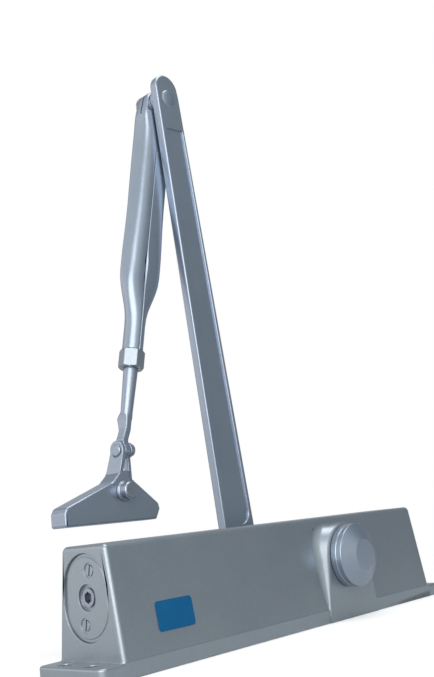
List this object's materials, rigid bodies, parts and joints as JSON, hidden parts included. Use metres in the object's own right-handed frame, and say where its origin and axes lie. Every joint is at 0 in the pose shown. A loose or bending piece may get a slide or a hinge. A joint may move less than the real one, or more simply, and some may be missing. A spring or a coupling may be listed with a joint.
{
  "type": "door closer",
  "caption": "Surface-mounted rack-and-pinion door closer: long silver housing with mounting feet, stepped pinion cap, ribbed main arm, tubular forearm, adjusting rod and pressed shoe.",
  "frame": {"origin": "centre of the four mounting holes on the mounting face", "axes": "+Z out of the door through the housing, +X along the housing from the valve end to the pinion end, +Y along the pinion to the arm side"},
  "size_m": [0.286, 0.1168, 0.3644],
  "materials": {
    "painted_silver": "satin silver metallic paint",
    "zinc_steel": "bright zinc-plated steel",
    "plain_steel": "machined steel",
    "spring_steel": "dark oiled spring steel",
    "black_rubber": "black nitrile rubber",
    "blue_label": "plain blue film"
  },
  "bodies": {
    "housing": {"body_casting": "painted_silver", "valve_plug": "painted_silver", "plain_plug": "painted_silver", "plug_seals": "black_rubber", "bearings": "plain_steel", "pinion_cap": "painted_silver", "gland_nut": "zinc_steel", "shaft_seal": "black_rubber", "name_label": "blue_label", "spring_seat": "plain_steel", "main_spring": "spring_steel"},
    "piston": {"piston": "plain_steel", "check_valve": "spring_steel"},
    "pinion_and_arm": {"pinion_shaft": "plain_steel", "main_arm": "painted_silver", "arm_washer": "zinc_steel", "arm_screw": "zinc_steel", "elbow_rivet": "painted_silver", "elbow_washers": "zinc_steel"},
    "forearm": {"forearm": "painted_silver"},
    "lock_nut": {"lock_nut": "painted_silver"},
    "rod": {"adjusting_rod": "painted_silver", "clevis_pin": "painted_silver"},
    "shoe": {"shoe_bracket": "painted_silver", "shoe_bolt": "zinc_steel", "shoe_nut": "zinc_steel"},
    "closing_valve": {"closing_valve": "zinc_steel"},
    "latching_valve": {"latching_valve": "zinc_steel"},
    "power_adjuster": {"power_adjuster": "zinc_steel"}
  },
  "joints": [
    {"name": "pinion_turn", "type": "hinge", "parent": "housing", "child": "pinion_and_arm", "pos_m": [0.0435, 0, 0.035], "axis": [0, 1, 0], "range_deg": [0, 170], "stiffness_Nm_per_rad": 9, "springref_deg": -57.3},
    {"name": "piston_slide", "type": "slide", "parent": "housing", "child": "piston", "axis": [1, 0, 0], "range_m": [-0.0238, 0], "deforming": ["main_spring"]},
    {"name": "elbow_fold", "type": "hinge", "parent": "pinion_and_arm", "child": "forearm", "pos_m": [0.01531, 0.07, 0.34773], "axis": [0, 1, 0], "range_deg": [-10, 160]},
    {"name": "lock_nut_spin", "type": "hinge", "parent": "forearm", "child": "lock_nut", "pos_m": [-0.02739, 0.07, 0.16567], "axis": [-0.2284, 0, -0.9736], "continuous": true},
    {"name": "rod_extend", "type": "slide", "parent": "forearm", "child": "rod", "axis": [-0.2284, 0, -0.9736], "range_m": [-0.01, 0.03]},
    {"name": "shoe_tilt", "type": "hinge", "parent": "rod", "child": "shoe", "pos_m": [-0.0404, 0.07, 0.11018], "axis": [1, 0, 0], "range_deg": [-70, 70]},
    {"name": "closing_valve_turn", "type": "hinge", "parent": "housing", "child": "closing_valve", "pos_m": [-0.125, -0.00256, 0.04703], "axis": [-1, 0, 0], "range_deg": [0, 360]},
    {"name": "latching_valve_turn", "type": "hinge", "parent": "housing", "child": "latching_valve", "pos_m": [-0.125, 0.00262, 0.02268], "axis": [-1, 0, 0], "range_deg": [0, 360]},
    {"name": "power_adjuster_turn", "type": "hinge", "parent": "housing", "child": "power_adjuster", "pos_m": [-0.12, 0, 0.035], "axis": [-1, 0, 0], "range_deg": [0, 360]}
  ],
  "couplings": [
    {"joint": "piston_slide", "follows": "pinion_turn", "m_per_rad": -0.008}
  ]
}
